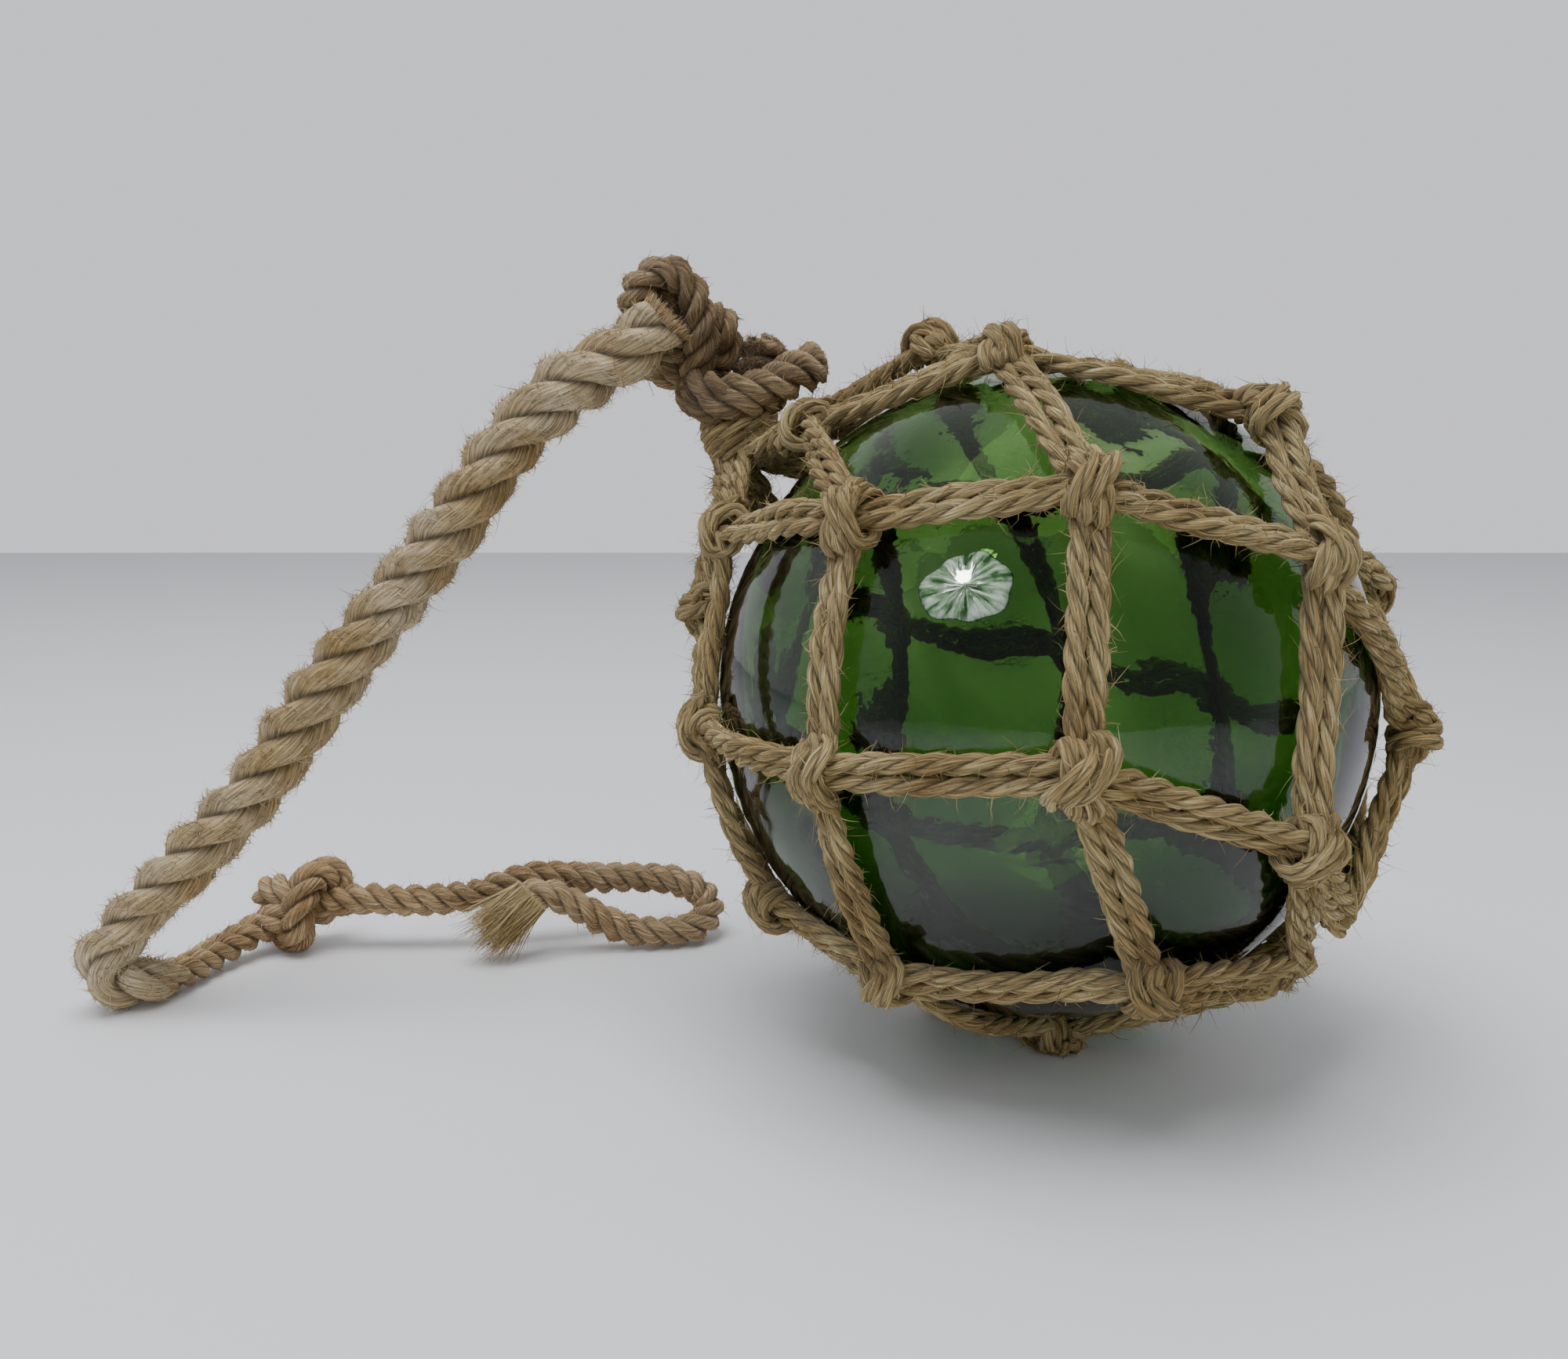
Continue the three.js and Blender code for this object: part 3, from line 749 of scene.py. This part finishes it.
tilt, turn = np.radians([POLE_TILT, POLE_TURN])
POLE = np.array([np.sin(tilt) * np.cos(turn), np.sin(tilt) * np.sin(turn), np.cos(tilt)])
FRONT, ACROSS = front_and_across(POLE)


def net_point(polar, azimuth, reach=108.5):
    """A place from the ball's centre: reach (cos p pole + sin p (cos a front + sin a across))."""
    p, a = np.radians([polar, azimuth])
    return reach * MM * (np.cos(p) * POLE + np.sin(p) * (np.cos(a) * FRONT + np.sin(a) * ACROSS))


knots = np.array([[net_point(*knot) for knot in row] for row in KNOT_ROWS])
grommet = np.array([net_point(*place) for place in GROMMET_ROW])
ROWS, ROUND = knots.shape[:2]
neck_front, neck_across = front_and_across(NECK_AXIS)
neck_ways = turned(np.radians([knot[1] for knot in KNOT_ROWS[1]]), neck_front, neck_across)
neck_ring = NECK_CENTRE - 4 * MM * NECK_AXIS + NECK_RING * neck_ways
print("knots", ROWS, "rows of", ROUND)

# %% [markdown]
# Every leg of the mesh is two cords side by side, as the net was worked with doubled cord. A cord runs
# straight from knot to knot unless the ball is in its way, and the pair twists a little, each leg in its own
# way. The cord is S-laid, about 6 mm thick.

# %% Legs of doubled cord
CORD_RADIUS = 3.05 * MM
CORD_LAY = 25 * MM
CORD_COLUMNS = 6
CORD_END = 2 * MM  # length of a cord's rounded end
LEG_POINTS = 30
CLEAR_OF_GLASS = BALL_RADIUS + CORD_RADIUS + 0.3 * MM


def clear_of_glass(places, distance):
    """Places from the ball's centre, pushed straight out where the glass's own middle is too near."""
    from_middle = places - GLASS_OFFSET
    reach = np.linalg.norm(from_middle, axis=-1, keepdims=True)
    return GLASS_OFFSET + from_middle * np.maximum(reach, distance) / reach


def leg_cords(start, end, seed):
    """The two cords of a leg, as parts.

    Middle line = straight line from knot to knot, pushed out of the ball where it would touch it. Each cord
    lies off it by w (cos q side + sin q up), with w small at the knots and q the pair's slow twist.
    """
    rng = np.random.default_rng(seed)
    share = np.linspace(0.02, 0.98, LEG_POINTS)[:, None]
    line = clear_of_glass(start + (end - start) * share, CLEAR_OF_GLASS)
    ahead = unit(np.gradient(line, axis=0))
    up = unit(line - (line * ahead).sum(1, keepdims=True) * ahead)
    side = np.cross(up, ahead)
    twist = rng.normal(0, 0.35) + rng.normal(0, 0.7) * (share - 0.5)
    spread = CORD_RADIUS * (0.66 + 0.24 * np.sin(np.pi * share)) * rng.uniform(0.94, 1.06)
    wander = 0.45 * MM * np.sin(2 * np.pi * (share * rng.uniform(0.8, 1.6) + rng.uniform(0, 1)))
    cords = []
    for k, sign in enumerate((-1, 1)):
        place = line + sign * spread * (np.cos(twist) * side + np.sin(twist) * up) + wander * up
        place = BALL_CENTRE + clear_of_glass(place, CLEAR_OF_GLASS)
        radius = CORD_RADIUS * rng.uniform(0.95, 1.06)
        cords.append(laid_rope(place, radius, CORD_LAY * rng.uniform(0.9, 1.12), S_LAY, seed * 2 + k,
                               columns=CORD_COLUMNS, frames=(ahead, side, up)))
    return cords


leg_starts = [knots[0], *knots]
leg_targets = [neck_ring, *knots[1:], grommet]
SECOND_STEPS = [1, 1, -1, 1, -1, 1]  # each knot's second leg goes to the next or the previous target


def row_of_legs(row):
    """The cords of two legs from each start: to its own target and to that target's neighbour."""
    ends = [(k, (k + step) % ROUND) for k in range(ROUND) for step in (0, SECOND_STEPS[row])]
    return [cord for n, (start, target) in enumerate(ends)
            for cord in leg_cords(leg_starts[row][start], leg_targets[row][target], 100 * row + n + 1)]


legs = [row_of_legs(row) for row in range(len(SECOND_STEPS))]
print("cords in the legs", sum(len(row) for row in legs))

# %% [markdown]
# At each knot, one pair of legs runs straight through, and the other pair wraps round it. The upper leg comes
# down over the front at a slant, goes round behind, comes over the top and down the front again at the
# other slant, and leaves as the lower leg. Some knots are mirrored, and all are leaned and stretched a bit.

# %% Knots
WRAP_ROUTE = [  # along the straight legs, up and outward, in millimetres from the knot's middle
    (-0.6, 10.5, -1.5), (-2.0, 7.2, 2.0), (-0.4, 2.0, 3.8), (1.8, -3.5, 3.2), (3.0, -6.6, 0.0),
    (3.2, -4.8, -3.9), (3.2, 0.0, -5.0), (3.4, 4.8, -3.7), (3.6, 7.2, 0.6), (2.9, 4.8, 4.4),
    (0.0, 0.0, 6.6), (-2.9, -4.6, 4.4), (-3.3, -7.3, 1.0), (-0.8, -10.5, -1.5),
]
WRAP_RADIUS = 2.65 * MM
WRAP_LAY = 28 * MM
WRAP_SPACING = 2.1 * MM


def wrapped_knot(centre, through, seed):
    """Two cords side by side along the wrap's route, as parts.

    Each lies half a pair's width off it, sideways to the route and to the line from the straight legs.
    """
    rng = np.random.default_rng(seed)
    outward = unit(centre)
    through = unit(through - (through @ outward) * outward)
    upward = np.cross(outward, through)
    axes = np.stack([through, upward, outward])
    stretch = np.array([rng.choice([-1, 1]) * rng.uniform(0.7, 1.25), rng.uniform(0.92, 1.08), 1.0])
    route = np.array(WRAP_ROUTE) * stretch + rng.normal(0, 0.35, (len(WRAP_ROUTE), 3))
    line = smooth_line(route * MM, WRAP_SPACING)
    ahead = unit(np.gradient(line, axis=0))
    from_legs = unit(line * (0, 1, 1))
    sideways = unit(np.cross(ahead, from_legs))
    cords = []
    for k, step in enumerate((-1, 1)):
        place = centre + (line + step * rng.uniform(1.9, 2.3) * MM * sideways) @ axes
        place = clear_of_glass(place, BALL_RADIUS + 0.85 * WRAP_RADIUS)
        frames = carried_frames(place, sideways[0] @ axes)
        cords.append(laid_rope(BALL_CENTRE + place, WRAP_RADIUS, WRAP_LAY * rng.uniform(0.9, 1.2), S_LAY,
                               seed * 2 + k, columns=CORD_COLUMNS, frames=frames, squash=0.86,
                               round_ends=CORD_END))
    return cords


def through_direction(row, k):
    """The way the straight pair of legs runs at a knot: of its two pairs, the one nearer to level."""
    above = neck_ring if row == 0 else knots[row - 1]
    below = leg_targets[row + 1]
    other = (k + SECOND_STEPS[row + 1]) % ROUND
    one = above[k] - below[other]
    two = above[other] - below[k]
    return min(one, two, key=lambda way: abs(unit(way)[2]))


wraps = [cord for row in range(ROWS) for k in range(ROUND)
         for cord in wrapped_knot(knots[row, k], through_direction(row, k), 700 + row * 10 + k)]

# %% [markdown]
# The grommet is a ring of the same cord through the last meshes, and the neck is bound with a few tight
# turns of cord under the becket's hitch.

# %% Grommet and neck lashing
RING_OVERLAP = 3 * MM
LASHING_TURNS = 3.9
LASHING_TALL = 13 * MM
LASHING_REACH = 10.4 * MM


def closed_ring(points, spacing):
    """A smooth closed line through points, with its start and end overlapping by a little."""
    looped = np.vstack([points[-2:], points, points[:3]])
    line = smooth_line(looped, spacing)
    along = distance_along(line)
    to_start = np.linalg.norm(line - points[0], axis=1)
    first = along[np.argmin(to_start)]
    second_half = along >= first + 0.5 * (along[-1] - first)
    last = along[np.argmin(np.where(second_half, to_start, np.inf))]
    return line[(along >= first) & (along <= last + RING_OVERLAP)]


def net_cord(line, radius, lay, seed):
    """One S-laid cord with rounded ends."""
    return laid_rope(line, radius, lay, S_LAY, seed, columns=CORD_COLUMNS, round_ends=CORD_END)


neck_middle = BALL_CENTRE + NECK_CENTRE
lash = np.linspace(0, LASHING_TURNS, 170)
lash_height = (lash / LASHING_TURNS - 0.36) * LASHING_TALL
lash_reach = LASHING_REACH + 0.6 * MM * np.sin(5 * lash)
lashing_line = (neck_middle + lash_height[:, None] * NECK_AXIS
                + lash_reach[:, None] * turned(2 * np.pi * lash, neck_front, neck_across))
gathered_line = neck_middle + np.linspace(-9, 7, 11)[:, None] * MM * NECK_AXIS

grommet_cord = net_cord(closed_ring(BALL_CENTRE + grommet, 1.6 * MM), 4 * MM, 26 * MM, 901)
neck_cords = [
    net_cord(evenly_cut(lashing_line, 1.5 * MM), 3.1 * MM, CORD_LAY, 902),
    *[net_cord(gathered_line + 5.2 * MM * way, 3 * MM, CORD_LAY, 910 + n) for n, way in enumerate(neck_ways)],
]

# %% The net's pieces
def with_fuzz(parts, per_part, longest, seed, highest=2.6 * MM):
    """The parts, each followed by its own coat of fuzz."""
    return [piece for n, part in enumerate(parts)
            for piece in (part, fuzz(part, per_part, longest, seed + n, highest))]


upper_legs, middle_legs, lower_legs = legs[0] + legs[1], legs[2] + legs[3], legs[4] + legs[5]
for name, parts, per_part, longest, seed, highest in [  # lengths and heights of fuzz in millimetres
    ("net_upper_legs", upper_legs, 112, 8, 2000, 4),
    ("net_middle_legs", middle_legs, 100, 8, 3000, 4),
    ("net_lower_legs", lower_legs, 60, 8, 3500, 4),
    ("net_knots", wraps, 85, 6, 4000, 3.5),
    ("net_neck_lashing", neck_cords, 420, 7, 5000, 2.6),
    ("net_grommet", [grommet_cord], 160, 5, 5100, 2.6),
]:
    coat = with_fuzz(parts, per_part, longest * MM, seed, highest * MM)
    make_piece(name, coat, jute, "jute_twine", "rope_net")

# %% [markdown]
# ## The ropes
# The becket and the tail are 12 mm three-strand rope, and the lanyard is about 21 mm. All are Z-laid. The
# becket opens out at its two cut ends. The lanyard is squeezed where the becket's loop grips its cut end,
# and it thins at its foot into the tail.

# %% Becket
ROPE_RADIUS = 6 * MM
ROPE_LAY = 23 * MM
STUB_RADIUS = 8.3 * MM
STUB_LENGTH = 24 * MM
along_becket = distance_along(becket_line)
along_stub = distance_along(becket_end_line)
opened = [np.clip(1.3 - along_becket / STUB_LENGTH, 0, 1), np.clip(along_stub / along_stub[-1] + 0.3, 0, 1)]
becket_radius, stub_radius = [ROPE_RADIUS + (STUB_RADIUS - ROPE_RADIUS) * share for share in opened]
becket_parts = [
    laid_rope(becket_line, becket_radius, ROPE_LAY, Z_LAY, 11, round_ends=5 * MM),
    laid_rope(becket_end_line, stub_radius, ROPE_LAY, Z_LAY, 12, round_ends=5 * MM),
    laid_rope(becket_second_line, ROPE_RADIUS, ROPE_LAY, Z_LAY, 13, round_ends=3 * MM),
]
becket_coat = with_fuzz(becket_parts, 1100, 4.5 * MM, 6000)
make_piece("becket_laid_rope", becket_coat, dark_manila, "manila_rope", "becket_rope")

# %% Lanyard
LANYARD_RADIUS = 10.8 * MM
LANYARD_TIP_RADIUS = 10.0 * MM
LANYARD_FOOT_RADIUS = 9.3 * MM
LANYARD_LAY = 49 * MM
LANYARD_COLUMNS = 12


def smoothstep(share, start, end):
    """0 before start, 1 after end, and 3 t^2 - 2 t^3 between them."""
    t = np.clip((share - start) / (end - start), 0, 1)
    return t * t * (3 - 2 * t)


down_lanyard = distance_along(lanyard_line) / LANYARD_LENGTH
lanyard_radius = LANYARD_TIP_RADIUS
for radius, *stretch in [(LANYARD_RADIUS, 0, 0.12), (LANYARD_FOOT_RADIUS, 0.6, 0.9), (ROPE_RADIUS, 0.92, 1)]:
    lanyard_radius = lanyard_radius + (radius - lanyard_radius) * smoothstep(down_lanyard, *stretch)
lanyard_rope = laid_rope(lanyard_line, lanyard_radius, LANYARD_LAY, Z_LAY, 21, columns=LANYARD_COLUMNS,
                         round_ends=1.5 * MM)
lanyard_coat = with_fuzz([lanyard_rope], 7000, 6 * MM, 7000, 2.2 * MM)
lanyard = make_piece("lanyard_laid_rope", lanyard_coat, manila, "manila_rope", "lanyard_rope")

# %% Tail with its knot, eye and frayed end
TAIL_RADIUS = 6.1 * MM
KNOT_RADIUS = 6.8 * MM
along_tail = distance_along(tail_line)
# The knot lies from about 55 to 155 mm along the tail.
in_knot = smoothstep(along_tail, 50 * MM, 60 * MM) - smoothstep(along_tail, 150 * MM, 160 * MM)
tail_radius = TAIL_RADIUS + (KNOT_RADIUS - TAIL_RADIUS) * in_knot
tail_rope = laid_rope(tail_line, tail_radius, ROPE_LAY, Z_LAY, 31, round_ends=4 * MM)
tail = make_piece("tail_laid_rope", with_fuzz([tail_rope], 2200, 3.6 * MM, 8000), thin_manila,
                  "manila_rope", "tail_rope", "tail_knot", "tail_span", "tail_eye")

# %% [markdown]
# Cut ends of fibre rope open like a brush. The lanyard's cut is short and stands in the becket's loop, and
# the tail's end is combed out flat and hangs to the table. A few long fibres stand away from the ropes.

# %% Frayed ends
BRUSH_WIDTH = 0.4 * MM


def short_brush(line, radius, count, longest, seed):
    """A brush of short thick fibres on the cut at a line's last point, the way the line arrives there."""
    return frayed_end(line[-1], line[-1] - line[-4], (0, 1, 0), (radius, radius), count, longest, seed,
                      spread=0.3, width=BRUSH_WIDTH)


brushes = [
    short_brush(lanyard_line[3::-1], 8.5 * MM, 800, 5 * MM, 41),
    short_brush(becket_line[3::-1], 3.6 * MM, 200, 2.4 * MM, 42),
    short_brush(becket_end_line, 3.6 * MM, 200, 2.4 * MM, 43),
]
make_piece("cut_rope_ends", brushes, thin_manila, "manila_rope")
tail_fan = frayed_end(tail_line[-1] + np.array([5, -3, 7]) * MM, (-0.74, -0.14, -0.66), (0.80, 0.0, -0.45),
                      (7.5 * MM, 3.2 * MM), 1000, 26 * MM, 44, spread=0.05, width=0.55 * MM)
make_piece("combed_tail_end", [tail_fan], straw_manila, "manila_rope")

# %% Stray fibres
STRAY_LOOK = {"lift": 0.9, "width": 0.35 * MM, "rings": 7}
strays = [
    fuzz(lanyard_rope, 26, 17 * MM, 51, 9 * MM, **STRAY_LOOK),
    fuzz(tail_rope, 10, 12 * MM, 52, 6 * MM, **STRAY_LOOK),
    *[fuzz(cord, 1, 11 * MM, 60 + n, 7 * MM, **STRAY_LOOK)
      for n, cord in enumerate(upper_legs[::3] + middle_legs[::2])],
]
make_piece("stray_fibres", strays, dark_manila, "manila_rope")

# %% [markdown]
# ## Light and floor
# The float lies on a pale table. A broad ceiling light and a dim one from the room in front light it, and
# they are never mirrored, so they leave no hard shapes on the glass. A small lamp on the left is only
# mirrored: it sparkles in the glass and in the folds of the seal. The pale sky behind shines through the
# glass. It is darker in front and overhead, as a room is, because the glass mirrors that too.

# %% Studio
def soft_light(name, direction, distance, size, power, glint=False):
    """A square area light that faces the ball. A glint is only seen mirrored, and other lights never are."""
    lamp = bpy.data.objects.new(name, bpy.data.lights.new(name, "AREA"))
    lamp.data.size = size
    lamp.data.energy = power
    lamp.visible_glossy = glint
    lamp.visible_diffuse = not glint
    lamp.location = BALL_CENTRE + distance * unit(np.array(direction))
    lamp.rotation_mode = "QUATERNION"
    lamp.rotation_quaternion = Vector(direction).to_track_quat("Z", "Y")
    bpy.context.scene.collection.objects.link(lamp)


soft_light("ceiling light", (-0.16, -0.12, 0.98), 1.6, 1.2, 29)
soft_light("window gap", (-0.486, -0.586, 0.649), 1.54, 0.34, 60, glint=True)
soft_light("room light", (0.25, -0.85, 0.35), 2.6, 2.2, 14)

world = bpy.data.worlds.new("pale room")
world.use_nodes = True
world_tree = world.node_tree
sky = world_tree.nodes["Background"]
direction = add_node(world_tree, "ShaderNodeTexCoord").outputs["Generated"]
heading = add_node(world_tree, "ShaderNodeSeparateXYZ", {0: direction})
smooth = {"interpolation_type": "SMOOTHSTEP"}
front_to_back = map_range(world_tree, heading.outputs[1], -0.75, 0.25, 0.28, 1.05, **smooth)
overhead = map_range(world_tree, heading.outputs[2], 0.30, 0.85, 1.0, 0.6, **smooth)
sky.inputs[0].default_value = colour("#e9eaee")
world_tree.links.new(maths(world_tree, "MULTIPLY", front_to_back, overhead), sky.inputs[1])
bpy.context.scene.world = world

FLOOR_HALF = 2  # metres
floor_material, floor_tree, floor_output = new_material("painted table top")
floor_look = {"Base Color": colour("#e4e6ea"), "Roughness": 0.6}
floor_shader = add_node(floor_tree, "ShaderNodeBsdfPrincipled", floor_look)
floor_tree.links.new(floor_shader.outputs[0], floor_output.inputs["Surface"])
floor_mesh = bpy.data.meshes.new("floor")
floor_corners = [(FLOOR_HALF * x, FLOOR_HALF * y, 0) for x, y in ((-1, -1), (1, -1), (1, 1), (-1, 1))]
floor_mesh.from_pydata(floor_corners, [], [(0, 1, 2, 3)])
floor_mesh.materials.append(floor_material)
floor = bpy.data.objects.new("floor", floor_mesh)
bpy.context.scene.collection.objects.link(floor)
